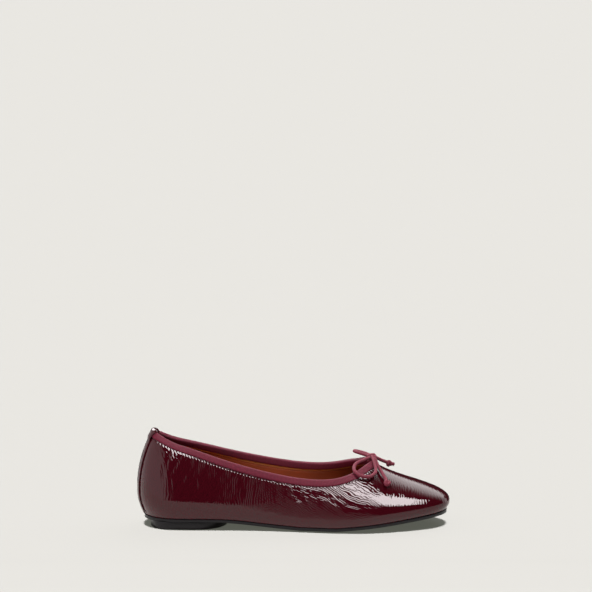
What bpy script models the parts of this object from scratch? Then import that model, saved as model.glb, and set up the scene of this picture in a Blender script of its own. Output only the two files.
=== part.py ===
"""Ballet flat, right shoe, standing on its sole. Toe +X, up +Z, outer side -Y, inner side +Y.

The origin is on the floor, in the middle of the heel's resting face. Lengths are in metres. The tables
hold shares of the named sizes, and x shares run from the heel's backmost point to the toe's tip.
"""

import math

import bmesh
import bpy
import numpy as np
from mathutils import Vector

# Driving sizes
LENGTH = 0.2494          # heel's backmost point to the toe's tip
BALL_WIDTH = 0.080       # widest girth of the upper, across the ball
BACK_HEIGHT = 0.0665     # upper at the heel's back, above the sole
WALL = 0.0016            # patent leather with its backing and lining
SOLE_THICKNESS = 0.0026
HEEL_HEIGHT = 0.0059     # the heel's own block
INSOLE_THICKNESS = 0.0022
TOE_SPRING = 0.0092      # sole's underside at the toe's tip, above the floor
BINDING_HEIGHT = 0.0050  # grosgrain tape on each side of the collar's edge
BINDING_THICKNESS = 0.0007
STRIP_WIDTH = 0.0224     # heel strip, across the back seam where it is widest
STRIP_THICKNESS = 0.0008
STRIP_TAB = 0.010        # how far the strip reaches down inside
CORD = 0.0027            # bow cord's diameter
KNOT_SIZE = (0.0080, 0.0068, 0.0046)
TIP_SIZES = {"near": (0.0056, 0.0048, 0.0054), "far": (0.0046, 0.0044, 0.0048)}
GAP = 0.0003             # clearance between neighbouring pieces

# Where the resting face's middle lies, from the heel's backmost point
REST_SHARE = 0.16

# How round the plan is at each end, and the length of each rounded end as a share
HEEL_END = {"share": 0.125, "power": 2.3}
TOE_END = {"share": 0.300, "power": 2.32}

# Widest line of the upper: half widths as shares of BALL_WIDTH, before the rounded ends
GIRTH = {
    "share":  (0.00, 0.12, 0.25, 0.38, 0.50, 0.60, 0.69, 0.77, 0.85, 1.00),
    "outer":  (.365, .372, .375, .392, .440, .488, .510, .498, .462, .435),
    "inner":  (.365, .366, .350, .328, .365, .425, .480, .490, .465, .420),
}

# Height of the widest line above the feather edge as a share of BACK_HEIGHT, and how far the
# feather edge lies inside the widest line as a share of BALL_WIDTH
FULLNESS = {
    "share":  (0.00, 0.12, 0.25, 0.38, 0.50, 0.60, 0.72, 0.85, 1.00),
    "height": (.290, .235, .205, .190, .155, .130, .115, .104, .090),
    "tuck":   (.062, .043, .040, .038, .036, .034, .034, .034, .032),
}

# Sole's underside along the middle, before it is cut off flat at the floor: shares of the height at
# the heel seat up to 0.5, and of TOE_SPRING past it
ARCH = {
    "share":  (0.00, 0.12, 0.24, 0.31, 0.38, 0.45, 0.52),
    "rise":   (1.00, 1.00, 1.00, .880, .570, .250, -.01),
}
SPRING = {
    "share":  (0.52, 0.62, 0.68, 0.75, 0.82, 0.90, 1.00),
    "rise":   (-.02, -.02, .110, .290, .480, .720, 1.00),
}
EDGE_LIFT = 0.0011       # how much higher the sole's rim is than its middle, from the arch forward

# Where each section's line meets the collar, for its station on the widest line
SECTION = {
    "share":  (0.00, 0.035, 0.11, 0.24, 0.40, 0.52, 0.62, 0.72, 0.82, 0.90, 0.96, 1.00),
    "collar": (.050, .0685, .118, .240, .400, .515, .597, .662, .707, .732, .7455, .752),
}

# Collar edge of the leather: half widths as shares of BALL_WIDTH before the rounded ends, and heights
# as shares of BACK_HEIGHT above the heel seat
COLLAR = {
    "share":  (.050, .104, .170, .235, .360, .457, .570, .650, .683, .711, .735, .752),
    "width":  (.140, .150, .187, .239, .307, .336, .359, .348, .318, .284, .248, .220),
    "outer":  (1.00, .893, .815, .742, .611, .531, .480, .505, .540, .577, .617, .632),
    "inner":  (1.00, .893, .817, .746, .622, .548, .500, .523, .555, .588, .621, .632),
}
COLLAR_BACK = {"share": 0.100, "power": 2.0}
COLLAR_FRONT = {"share": 0.092, "power": 2.0}

# Shape of each section between the widest line and the collar: how far it rises before it turns, as a
# share of its height, and where the turn towards the collar starts, as shares of its run and its height
PROFILE = {
    "share":  (0.00, 0.12, 0.25, 0.40, 0.55, 0.68, 0.80, 0.90, 1.00),
    "rise":   (.340, .350, .370, .380, .380, .380, .385, .390, .400),
    "lean":   (.720, .600, .520, .450, .380, .330, .290, .250, .226),
    "drop":   (.340, .350, .330, .300, .290, .315, .350, .400, .440),
}

# Half of the heel strip's width as shares of STRIP_WIDTH, up the back from the sole to the collar
STRIP = {
    "share":  (0.00, 0.12, 0.24, 0.42, 0.61, 0.78, 0.85, 0.91, 1.00),
    "half":   (.440, .485, .500, .478, .424, .335, .285, .245, .214),
}

# The grosgrain's cross-section at the collar's edge: where its rounded corner lies, as shares of the
# clearance and the tape's thickness
TAPE_CORNER = {"rise": 0.7, "out": 0.6, "across": 1.2}

# Where the strip lies: how low its foot starts on the section, its clearance as a share of GAP, how far
# past the binding it starts to climb and over what length, and its fold over the collar's edge
STRIP_LAY = {"foot": 0.03, "clearance": 1.4, "climb_start": 0.004, "climb_length": 0.003}
STRIP_FOLD = {"rise": 0.75, "crest": 1.02, "out": 0.7}

# Cord routes of the bow, chosen by hand: x from the heel's backmost point, y and z, in millimetres
LOOP_NEAR = ((183.9, -4.0, 53.8), (179.8, -8.7, 53.1), (174.7, -14.1, 52.0), (172.4, -19.6, 50.1),
             (172.9, -25.3, 47.7), (176.4, -27.3, 45.2), (181.2, -26.4, 43.7), (185.6, -24.3, 43.6),
             (188.7, -20.3, 44.9), (189.6, -15.6, 47.2), (189.0, -11.2, 50.2), (187.8, -5.4, 53.6))
LOOP_FAR = ((183.0, 3.2, 54.2), (179.8, 4.6, 55.2), (176.6, 6.2, 55.9), (173.9, 9.2, 56.2),
            (173.1, 12.6, 56.0), (174.6, 15.8, 55.2), (178.0, 16.2, 54.4), (181.6, 13.2, 54.0),
            (184.2, 9.2, 53.8), (186.0, 5.0, 53.9))
TAIL_NEAR = ((190.0, -3.4, 52.6), (191.0, -8.0, 49.7), (193.5, -13.2, 46.0), (195.9, -17.8, 42.7),
             (197.5, -21.2, 40.2), (198.0, -22.6, 39.4))
TAIL_FAR = ((190.0, 2.5, 53.0), (193.5, 4.6, 50.8), (197.0, 6.2, 48.9), (198.7, 7.2, 48.0))
TIPS = {"near": (198.4, -25.8, 38.3), "far": (201.0, 8.8, 46.7)}
KNOT_AT = (186.7, 0.0, 54.2)
KNOT_WAIST = {"depth": 0.16, "width": 0.16}

# How finely the surfaces are divided
AROUND = 40              # sections on each side of the shoe
LOW_ROWS = 4             # rows from the feather edge to the widest line
HIGH_ROWS = 10           # rows from the widest line to the collar


def spline(table, column, at, by="share"):
    """Reads a column of a table at one share, on a natural cubic through its rows."""
    x = np.array(table[by])
    y = np.array(table[column])
    n = len(x)
    h = np.diff(x)
    matrix = np.eye(n)
    right = np.zeros(n)
    for i in range(1, n - 1):
        matrix[i, i - 1:i + 2] = (h[i - 1], 2 * (h[i - 1] + h[i]), h[i])
        right[i] = 6 * ((y[i + 1] - y[i]) / h[i] - (y[i] - y[i - 1]) / h[i - 1])
    bend = np.linalg.solve(matrix, right)
    at = min(max(at, x[0]), x[-1])
    i = min(max(int(np.searchsorted(x, at)) - 1, 0), n - 2)
    a = (x[i + 1] - at) / h[i]
    b = (at - x[i]) / h[i]
    curve = ((a ** 3 - a) * bend[i] + (b ** 3 - b) * bend[i + 1]) * h[i] ** 2 / 6
    return float(a * y[i] + b * y[i + 1] + curve)


def rounded(share, first, last, back, front):
    """How much of the full width a plan outline keeps near its two rounded ends."""
    keep = 1.0
    into_back = (first + back["share"] - share) / back["share"]
    into_front = (share - last + front["share"]) / front["share"]
    for into, power in ((into_back, back["power"]), (into_front, front["power"])):
        if into > 0:
            keep *= max(1 - min(into, 1) ** power, 0) ** (1 / power)
    return keep


def side_name(side):
    return "outer" if side < 0 else "inner"


def sole_underside(share, across=0.0):
    """Height of the sole's underside. across is 0 in the middle and 1 at the rim."""
    seat = HEEL_HEIGHT + GAP
    if share < SPRING["share"][0]:
        middle = seat * spline(ARCH, "rise", share)
    else:
        middle = TOE_SPRING * spline(SPRING, "rise", share)
    forward = min(max((share - 0.30) / 0.25, 0), 1)
    lift = EDGE_LIFT * forward ** 2 * (3 - 2 * forward) * max(abs(across) - 0.45, 0) / 0.55
    return max(middle, 0.0) + lift


def feather_height(share):
    """Top of the sole's rim, which the upper stands on."""
    return sole_underside(share, 1.0) + SOLE_THICKNESS


def girth_point(share, side):
    """A point on the widest line of the upper."""
    keep = rounded(share, 0, 1, HEEL_END, TOE_END)
    half = BALL_WIDTH * spline(GIRTH, side_name(side), share) * keep
    rise = BACK_HEIGHT * spline(FULLNESS, "height", share)
    return np.array((share * LENGTH, side * half, feather_height(share) + GAP + rise))


def feather_point(share, side, inset=0.0):
    """A point on the upper's lower edge, or that far inside it."""
    tuck = [BALL_WIDTH * spline(FULLNESS, "tuck", at) + inset for at in (0, share, 1)]
    x = tuck[0] + share * (LENGTH - tuck[0] - tuck[2])
    keep = rounded(share, 0, 1, HEEL_END, TOE_END)
    half = (BALL_WIDTH * spline(GIRTH, side_name(side), share) - tuck[1]) * keep
    return np.array((x, side * half, feather_height(x / LENGTH) + GAP))


def collar_point(share, side):
    """A point on the leather's edge at the collar, for a section that starts at this girth share."""
    at = spline(SECTION, "collar", share)
    first = COLLAR["share"][0]
    last = COLLAR["share"][-1]
    keep = rounded(at, first, last, COLLAR_BACK, COLLAR_FRONT)
    half = BALL_WIDTH * spline(COLLAR, "width", at) * keep
    seat = HEEL_HEIGHT + GAP + SOLE_THICKNESS + GAP
    height = seat + BACK_HEIGHT * spline(COLLAR, side_name(side), at)
    return np.array((at * LENGTH, side * half, height))


def bezier(points, t):
    a, b, c, d = points
    s = 1 - t
    return s ** 3 * a + 3 * s * s * t * b + 3 * s * t * t * c + t ** 3 * d


def section(share, side):
    """The two cubic curves of one section: feather edge to widest line, and on to the collar."""
    low = feather_point(share, side)
    wide = girth_point(share, side)
    top = collar_point(share, side)
    up = np.array((0, 0, 1.0))
    out = wide - low
    out[2] = 0
    climb = up * (wide[2] - low[2])
    lower = (low, low + out * 0.45 + climb * 0.28, wide - climb * 0.45, wide)
    run = wide - top
    height = top[2] - wide[2]
    turn = top + run * spline(PROFILE, "lean", share)
    turn[2] = top[2] - height * spline(PROFILE, "drop", share)
    upper = (wide, wide + up * height * spline(PROFILE, "rise", share), turn, top)
    return lower, upper


def stations(count):
    """Girth shares from heel to toe, close together at the two rounded ends."""
    return [(1 - math.cos(math.pi * i / count)) / 2 for i in range(count + 1)]


def ring(count):
    """(share, side) once round the shoe: outer side to the toe, then back along the inner side."""
    shares = stations(count)
    return [(s, -1) for s in shares] + [(s, 1) for s in shares[-2:0:-1]]


def outer_surface(around, low_rows, high_rows):
    """Grid of points on the upper's outside, [section][row], from feather edge to collar."""
    grid = []
    for share, side in ring(around):
        lower, upper = section(share, side)
        row = [bezier(lower, i / low_rows) for i in range(low_rows)]
        row += [bezier(upper, i / high_rows) for i in range(high_rows + 1)]
        grid.append(row)
    return np.array(grid)


def normals_of(grid):
    """Unit normals of a grid that closes round its first index, pointing outwards."""
    along = np.roll(grid, -1, axis=0) - np.roll(grid, 1, axis=0)
    up = np.gradient(grid, axis=1)
    normal = np.cross(along, up)
    return normal / np.linalg.norm(normal, axis=2, keepdims=True)


def offset_surface(grid, normal, distance):
    return grid + normal * distance


def placed(point):
    """Moves a point from the heel's backmost point to the frame's origin."""
    return (point[0] - REST_SHARE * LENGTH, point[1], point[2])


def add_object(name, mesh, finish):
    """Adds a named sub-part with its own material."""
    colour, roughness, metallic = finish
    material = bpy.data.materials.new(name + "_finish")
    material.use_nodes = True
    shader = material.node_tree.nodes["Principled BSDF"]
    shader.inputs["Base Color"].default_value = (*colour, 1)
    shader.inputs["Roughness"].default_value = roughness
    shader.inputs["Metallic"].default_value = metallic
    mesh.materials.append(material)
    thing = bpy.data.objects.new(name, mesh)
    bpy.context.scene.collection.objects.link(thing)
    return thing


def mesh_from(name, points, faces):
    """One closed smooth-shaded mesh with its faces turned outwards."""
    mesh = bpy.data.meshes.new(name)
    mesh.from_pydata([placed(p) for p in points], [], faces)
    work = bmesh.new()
    work.from_mesh(mesh)
    bmesh.ops.recalc_face_normals(work, faces=work.faces)
    work.to_mesh(mesh)
    work.free()
    mesh.shade_smooth()
    mesh.set_sharp_from_angle(angle=math.radians(50))
    return mesh


def band(loops):
    """Points and faces of a closed band: each loop is one cross-section, and the loops close round."""
    count = len(loops)
    across = len(loops[0])
    points = [p for loop in loops for p in loop]
    faces = []
    for i in range(count):
        after = (i + 1) % count
        for j in range(across):
            k = (j + 1) % across
            faces.append((i * across + j, after * across + j, after * across + k, i * across + k))
    return points, faces


def build_upper(finish):
    """The hollow upper: its outside, its inside a wall's thickness in, a rim below and one above."""
    outside = outer_surface(AROUND, LOW_ROWS, HIGH_ROWS)
    normal = normals_of(outside)
    normal[:, 0, 2] = 0
    normal[:, 0] /= np.linalg.norm(normal[:, 0], axis=1, keepdims=True)
    inside = offset_surface(outside, normal, -WALL)
    loops = [list(out) + list(into[::-1]) for out, into in zip(outside, inside)]
    points, faces = band(loops)
    return add_object("upper", mesh_from("upper", points, faces), finish)


def down_section(share, side, distances):
    """Points of a section at these distances below the collar's edge, along the leather."""
    upper = section(share, side)[1]
    fine = np.array([bezier(upper, 1 - i / 60) for i in range(61)])
    steps = np.linalg.norm(np.diff(fine, axis=0), axis=1)
    run = np.concatenate(((0,), np.cumsum(steps)))
    return np.array([[np.interp(d, run, fine[:, axis]) for axis in range(3)] for d in distances])


def collar_frames(around):
    """For each section: points down from the collar's edge on the leather, and their normals."""
    depths = (0.0, BINDING_HEIGHT * 0.34, BINDING_HEIGHT * 0.67, BINDING_HEIGHT)
    grid = np.array([down_section(share, side, depths)[::-1] for share, side in ring(around)])
    return grid, normals_of(grid)


def build_binding(finish):
    """The grosgrain tape: a U round the collar's edge, clear of the leather on both faces."""
    grid, normal = collar_frames(AROUND)
    loops = []
    for points, face in zip(grid, normal):
        rise = points[-1] - points[-2]
        rise /= np.linalg.norm(rise)
        outer_skin = points + face * (GAP + BINDING_THICKNESS)
        outer_back = points + face * GAP
        inner_back = points - face * (WALL + GAP)
        inner_skin = points - face * (WALL + GAP + BINDING_THICKNESS)
        edge = points[-1]
        proud = GAP + BINDING_THICKNESS
        top_skin = edge + rise * proud - face[-1] * WALL / 2
        top_back = edge + rise * GAP - face[-1] * WALL / 2
        corner_out = edge + (rise * TAPE_CORNER["rise"] + face[-1] * TAPE_CORNER["out"]) * proud
        corner_in = corner_out - face[-1] * (WALL + proud * TAPE_CORNER["across"])
        back_out = edge + rise * GAP + face[-1] * GAP
        back_in = edge + rise * GAP - face[-1] * (WALL + GAP)
        loop = list(outer_skin) + [corner_out, top_skin, corner_in] + list(inner_skin[::-1])
        loop += list(inner_back) + [back_in, top_back, back_out] + list(outer_back[::-1])
        loops.append(loop)
    points, faces = band(loops)
    return add_object("topline_binding", mesh_from("topline_binding", points, faces), finish)


def disc_grid(outline, levels, height):
    """Rows of points from the middle line out to an outline of (x, -half, +half) stations."""
    rows = []
    for x, outer, inner in outline:
        middle = (outer + inner) / 2
        half = (inner - outer) / 2
        rows.append([np.array((x, middle + half * v, height(x, v))) for v in levels])
    return rows


def slab(outline, levels, top, bottom):
    """A closed slab between two heights, over an outline whose first and last stations are points."""
    upper = disc_grid(outline, levels, top)
    lower = disc_grid(outline, levels, bottom)
    across = len(levels)
    points = []
    index = {}
    for face, rows in enumerate((upper, lower)):
        for i, row in enumerate(rows):
            for j, point in enumerate(row):
                at_end = i in (0, len(rows) - 1)
                if at_end and j:
                    index[face, i, j] = index[face, i, 0]
                    continue
                index[face, i, j] = len(points)
                points.append(row[across // 2] if at_end else point)
    faces = []

    def add(*keys):
        corners = []
        for key in keys:
            if index[key] not in corners:
                corners.append(index[key])
        if len(corners) > 2:
            faces.append(tuple(corners))

    for i in range(len(upper) - 1):
        for j in range(across - 1):
            for face in (0, 1):
                add((face, i, j), (face, i + 1, j), (face, i + 1, j + 1), (face, i, j + 1))
        for j in (0, across - 1):
            add((0, i, j), (0, i + 1, j), (1, i + 1, j), (1, i, j))
    return points, faces


def sole_outline(inset):
    """Stations (x, outer, inner) of the feather outline, moved in by inset."""
    outline = []
    for share in stations(30):
        outer = feather_point(share, -1, inset)
        inner = feather_point(share, 1, inset)
        outline.append((outer[0], outer[1], inner[1]))
    return outline


ACROSS = (-1.0, -0.86, -0.45, 0.0, 0.45, 0.86, 1.0)


def build_outsole(finish):
    """The sole: flat under the forefoot where it rests, lifted at the rim, in the arch and at the toe."""
    def bottom(x, v):
        return sole_underside(x / LENGTH, v)

    def top(x, v):
        return feather_height(x / LENGTH)

    points, faces = slab(sole_outline(-0.0002), ACROSS, top, bottom)
    return add_object("outsole", mesh_from("outsole", points, faces), finish)


def build_insole(finish):
    """The sock: inside the upper's lower edge, on the sole."""
    def bottom(x, v):
        return feather_height(x / LENGTH) + GAP

    def top(x, v):
        return bottom(x, v) + INSOLE_THICKNESS

    points, faces = slab(sole_outline(WALL + GAP + 0.0004), ACROSS, top, bottom)
    return add_object("insole", mesh_from("insole", points, faces), finish)


# The heel's plan: where it starts and ends as shares of LENGTH, and how far it lies inside the sole
HEEL_BLOCK = {"first": 0.0395, "last": 0.286, "inset": 0.0012, "back": 0.080, "front": 0.105}


def build_heel(finish):
    """The low lift under the seat: blunt at the back, rounded at the breast, tapered a little."""
    ends = (HEEL_BLOCK["first"], HEEL_BLOCK["last"])
    back = {"share": HEEL_BLOCK["back"], "power": 2.7}
    front = {"share": HEEL_BLOCK["front"], "power": 2.1}
    outline = []
    for part in stations(22):
        share = ends[0] + part * (ends[1] - ends[0])
        keep = rounded(share, *ends, back, front)
        halves = [abs(feather_point(max(share, HEEL_END["share"]), side, HEEL_BLOCK["inset"])[1])
                  for side in (-1, 1)]
        outline.append((share * LENGTH, -halves[0] * keep, halves[1] * keep))
    def top(x, v):
        return sole_underside(x / LENGTH) - GAP

    points, faces = slab(outline, (-1.0, -0.5, 0.0, 0.5, 1.0), top, lambda x, v: 0.0)
    return add_object("heel", mesh_from("heel", points, faces), finish)


def strip_rows(share, side):
    """Points up one section, from the strip's foot to the collar."""
    lower, upper = section(share, side)
    rows = [bezier(lower, max(i / LOW_ROWS / 2, STRIP_LAY["foot"])) for i in range(LOW_ROWS * 2)]
    return rows + [bezier(upper, i / HIGH_ROWS / 2) for i in range(HIGH_ROWS * 2 + 1)]


def strip_ground(columns):
    """The leather under the strip, [column across][row up], as wide as its table says at each height."""
    shares = 0.16 * np.linspace(0, 1, 61) ** 2
    sheets = {side: np.array([strip_rows(share, side) for share in shares]) for side in (-1, 1)}
    seam = sheets[1][0]
    height = (seam[:, 2] - seam[0, 2]) / (seam[-1, 2] - seam[0, 2])
    half = [STRIP_WIDTH * spline(STRIP, "half", up) for up in height]
    ground = []
    for j in range(columns + 1):
        place = -1 + 2 * j / columns
        sheet = sheets[1 if place > 0 else -1]
        column = []
        for i in range(len(seam)):
            line = sheet[:, i]
            off = abs(line[:, 1])
            column.append([np.interp(abs(place) * half[i], off, line[:, axis]) for axis in range(3)])
        ground.append(column)
    return np.array(ground)


def build_strip(finish):
    """The heel strip: up the back seam over the binding, across the collar's edge and down inside."""
    columns = 8
    grid = strip_ground(columns)
    rows = grid.shape[1]
    normal = np.cross(np.gradient(grid, axis=0), np.gradient(grid, axis=1))
    normal /= np.linalg.norm(normal, axis=2, keepdims=True)
    if normal[columns // 2, 0, 0] > 0:
        normal = -normal

    def lifted(j, i, extra):
        """The strip's underside climbs from the leather onto the binding near the collar."""
        below = np.linalg.norm(grid[j, -1] - grid[j, i])
        past = BINDING_HEIGHT + STRIP_LAY["climb_start"] - below
        climb = min(max(past / STRIP_LAY["climb_length"], 0), 1)
        lift = GAP * STRIP_LAY["clearance"] + climb * (BINDING_THICKNESS + GAP)
        return grid[j, i] + normal[j, i] * (lift + extra)

    loops = []
    for j in range(columns + 1):
        rise = grid[j, -1] - grid[j, -2]
        rise /= np.linalg.norm(rise)
        face = normal[j, -1]
        over = GAP * 2 + BINDING_THICKNESS
        edge = grid[j, -1]
        sides = []
        for extra in (STRIP_THICKNESS, 0.0):
            path = [lifted(j, i, extra) for i in range(rows)]
            radius = over + extra
            path.append(edge + (rise * STRIP_FOLD["rise"] + face * STRIP_FOLD["out"]) * radius)
            path.append(edge + rise * radius * STRIP_FOLD["crest"] - face * WALL / 2)
            inward = WALL + radius * STRIP_FOLD["out"]
            path.append(edge + rise * radius * STRIP_FOLD["rise"] - face * inward)
            for i in range(rows - 1, 0, -1):
                if np.linalg.norm(edge - grid[j, i]) > STRIP_TAB:
                    break
                path.append(grid[j, i] - normal[j, i] * (WALL + over + extra))
            sides.append(path)
        loops.append(sides)
    shortest = min(len(side) for sides in loops for side in sides)
    loops = [sides[0][:shortest] + sides[1][:shortest][::-1] for sides in loops]
    across = shortest * 2
    points = [p for loop in loops for p in loop]
    faces = []
    for i in range(columns):
        for j in range(across):
            k = (j + 1) % across
            faces.append((i * across + j, (i + 1) * across + j, (i + 1) * across + k, i * across + k))
    for i in (0, columns):
        for j in range(shortest - 1):
            mate = across - 1 - j
            faces.append((i * across + j, i * across + j + 1, i * across + mate - 1, i * across + mate))
    return add_object("heel_strip", mesh_from("heel_strip", points, faces), finish)


def smooth_route(points, spacing):
    """Evenly spaced points on a smooth curve through the route's own points, in metres."""
    route = np.array(points) / 1000
    count = len(route)
    run = np.concatenate(((0,), np.cumsum(np.linalg.norm(np.diff(route, axis=0), axis=1))))
    table = {"share": run}
    for axis in range(3):
        table[axis] = route[:, axis]
    close = np.linspace(0, run[-1], 40 * count)
    fine = np.array([[spline(table, axis, s) for axis in range(3)] for s in close])
    length = np.concatenate(((0,), np.cumsum(np.linalg.norm(np.diff(fine, axis=0), axis=1))))
    steps = max(int(round(length[-1] / spacing)), 2)
    even = np.linspace(0, length[-1], steps + 1)
    return np.array([[np.interp(s, length, fine[:, axis]) for axis in range(3)] for s in even])


def build_cord(name, points, finish):
    """A round cord along a route, with closed ends."""
    route = smooth_route(points, CORD * 1.1)
    curve = bpy.data.curves.new(name, "CURVE")
    curve.dimensions = "3D"
    curve.bevel_depth = CORD / 2
    curve.bevel_resolution = 2
    curve.use_fill_caps = True
    line = curve.splines.new("POLY")
    line.points.add(len(route) - 1)
    for spot, point in zip(line.points, route):
        spot.co = (*placed(point), 1)
    return add_object(name, curve, finish)


def build_knot(name, centre, size, finish):
    """A tight overhand knot: a rounded lump with the waist that a crossing turn leaves."""
    mesh = bpy.data.meshes.new(name)
    work = bmesh.new()
    bmesh.ops.create_uvsphere(work, u_segments=12, v_segments=8, radius=0.5)
    for vertex in work.verts:
        place = vertex.co
        waist = 1 - KNOT_WAIST["depth"] * math.exp(-(place.x / KNOT_WAIST["width"]) ** 2)
        shaped = Vector((place.x * size[0], place.y * size[1] * waist, place.z * size[2] * waist))
        vertex.co = shaped + Vector(placed(np.array(centre) / 1000))
    work.to_mesh(mesh)
    work.free()
    mesh.shade_smooth()
    return add_object(name, mesh, finish)


def clear_scene():
    for thing in list(bpy.data.objects):
        bpy.data.objects.remove(thing, do_unlink=True)


def main():
    clear_scene()
    patent = ((0.055, 0.004, 0.010), 0.12, 0.0)
    grosgrain = ((0.125, 0.020, 0.040), 0.75, 0.0)
    rubber = ((0.012, 0.011, 0.014), 0.45, 0.0)
    tan = ((0.230, 0.090, 0.035), 0.60, 0.0)
    build_outsole(rubber)
    build_heel(rubber)
    build_insole(tan)
    build_upper(patent)
    build_binding(grosgrain)
    build_strip(patent)
    build_knot("bow_knot", KNOT_AT, KNOT_SIZE, grosgrain)
    build_cord("bow_loop_near", LOOP_NEAR, grosgrain)
    build_cord("bow_loop_far", LOOP_FAR, grosgrain)
    build_cord("bow_tail_near", TAIL_NEAR, grosgrain)
    build_cord("bow_tail_far", TAIL_FAR, grosgrain)
    build_knot("bow_tip_near", TIPS["near"], TIP_SIZES["near"], grosgrain)
    build_knot("bow_tip_far", TIPS["far"], TIP_SIZES["far"], grosgrain)


main()
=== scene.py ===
"""Looks of the ballet flat: crinkled burgundy patent, grosgrain topline, cord bow, on a pale floor.

Toe +X, up +Z, outer side -Y towards the camera. Lengths are in metres, and names that end in _MM say
millimetres. The sizes and tables repeat those of the CAD part, so that the finer surfaces lie on it.
"""

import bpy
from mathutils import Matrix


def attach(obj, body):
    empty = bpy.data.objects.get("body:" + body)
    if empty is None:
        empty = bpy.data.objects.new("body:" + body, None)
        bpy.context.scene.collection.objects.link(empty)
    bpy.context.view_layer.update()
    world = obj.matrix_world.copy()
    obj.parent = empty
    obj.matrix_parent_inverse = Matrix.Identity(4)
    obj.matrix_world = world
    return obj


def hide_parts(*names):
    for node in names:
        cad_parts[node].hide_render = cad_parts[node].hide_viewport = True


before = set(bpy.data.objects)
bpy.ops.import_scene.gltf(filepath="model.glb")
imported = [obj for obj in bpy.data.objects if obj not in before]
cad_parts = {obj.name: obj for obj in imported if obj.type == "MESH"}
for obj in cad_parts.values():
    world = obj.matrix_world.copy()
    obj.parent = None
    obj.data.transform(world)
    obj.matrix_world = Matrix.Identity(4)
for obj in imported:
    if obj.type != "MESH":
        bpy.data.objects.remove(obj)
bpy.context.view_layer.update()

import math

import bpy
import numpy as np
from mathutils import Vector

# Sizes of the CAD part
LENGTH = 0.2494
BALL_WIDTH = 0.080
BACK_HEIGHT = 0.0665
WALL = 0.0016
SOLE_THICKNESS = 0.0026
HEEL_HEIGHT = 0.0059
INSOLE_THICKNESS = 0.0022
TOE_SPRING = 0.0092
BINDING_HEIGHT = 0.0050
BINDING_THICKNESS = 0.0007
STRIP_WIDTH = 0.0224
STRIP_THICKNESS = 0.0008
STRIP_TAB = 0.010
CORD = 0.0027
GAP = 0.0003
REST_SHARE = 0.16
EDGE_LIFT = 0.0011
MM = 0.001
MERGE_DISTANCE = 2e-6    # points closer than this are one

HEEL_END = {"share": 0.125, "power": 2.3}
TOE_END = {"share": 0.300, "power": 2.32}
GIRTH = {
    "share":  (0.00, 0.12, 0.25, 0.38, 0.50, 0.60, 0.69, 0.77, 0.85, 1.00),
    "outer":  (.365, .372, .375, .392, .440, .488, .510, .498, .462, .435),
    "inner":  (.365, .366, .350, .328, .365, .425, .480, .490, .465, .420),
}
FULLNESS = {
    "share":  (0.00, 0.12, 0.25, 0.38, 0.50, 0.60, 0.72, 0.85, 1.00),
    "height": (.290, .235, .205, .190, .155, .130, .115, .104, .090),
    "tuck":   (.062, .043, .040, .038, .036, .034, .034, .034, .032),
}
ARCH = {
    "share":  (0.00, 0.12, 0.24, 0.31, 0.38, 0.45, 0.52),
    "rise":   (1.00, 1.00, 1.00, .880, .570, .250, -.01),
}
SPRING = {
    "share":  (0.52, 0.62, 0.68, 0.75, 0.82, 0.90, 1.00),
    "rise":   (-.02, -.02, .110, .290, .480, .720, 1.00),
}
SECTION = {
    "share":  (0.00, 0.035, 0.11, 0.24, 0.40, 0.52, 0.62, 0.72, 0.82, 0.90, 0.96, 1.00),
    "collar": (.050, .0685, .118, .240, .400, .515, .597, .662, .707, .732, .7455, .752),
}
COLLAR = {
    "share":  (.050, .104, .170, .235, .360, .457, .570, .650, .683, .711, .735, .752),
    "width":  (.140, .150, .187, .239, .307, .336, .359, .348, .318, .284, .248, .220),
    "outer":  (1.00, .893, .815, .742, .611, .531, .480, .505, .540, .577, .617, .632),
    "inner":  (1.00, .893, .817, .746, .622, .548, .500, .523, .555, .588, .621, .632),
}
COLLAR_BACK = {"share": 0.100, "power": 2.0}
COLLAR_FRONT = {"share": 0.092, "power": 2.0}
PROFILE = {
    "share":  (0.00, 0.12, 0.25, 0.40, 0.55, 0.68, 0.80, 0.90, 1.00),
    "rise":   (.340, .350, .370, .380, .380, .380, .385, .390, .400),
    "lean":   (.720, .600, .520, .450, .380, .330, .290, .250, .226),
    "drop":   (.340, .350, .330, .300, .290, .315, .350, .400, .440),
}
STRIP = {
    "share":  (0.00, 0.12, 0.24, 0.42, 0.61, 0.78, 0.85, 0.91, 1.00),
    "half":   (.440, .485, .500, .478, .424, .335, .285, .245, .214),
}
HEEL_BLOCK = {"first": 0.0395, "last": 0.286, "inset": 0.0012, "back": 0.080, "front": 0.105}


def spline(table, column, at):
    """Reads a column of a table at shares, on a natural cubic through its rows."""
    x = np.array(table["share"])
    y = np.array(table[column])
    n = len(x)
    h = np.diff(x)
    matrix = np.eye(n)
    right = np.zeros(n)
    for i in range(1, n - 1):
        matrix[i, i - 1:i + 2] = (h[i - 1], 2 * (h[i - 1] + h[i]), h[i])
        right[i] = 6 * ((y[i + 1] - y[i]) / h[i] - (y[i] - y[i - 1]) / h[i - 1])
    bend = np.linalg.solve(matrix, right)
    at = np.clip(at, x[0], x[-1])
    i = np.clip(np.searchsorted(x, at) - 1, 0, n - 2)
    a = (x[i + 1] - at) / h[i]
    b = (at - x[i]) / h[i]
    curve = ((a ** 3 - a) * bend[i] + (b ** 3 - b) * bend[i + 1]) * h[i] ** 2 / 6
    return a * y[i] + b * y[i + 1] + curve


def rounded(share, first, last, back, front):
    """How much of the full width a plan outline keeps near its two rounded ends."""
    keep = np.ones_like(share)
    into_back = (first + back["share"] - share) / back["share"]
    into_front = (share - last + front["share"]) / front["share"]
    for into, power in ((into_back, back["power"]), (into_front, front["power"])):
        keep = keep * np.maximum(1 - np.clip(into, 0, 1) ** power, 0) ** (1 / power)
    return keep


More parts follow.
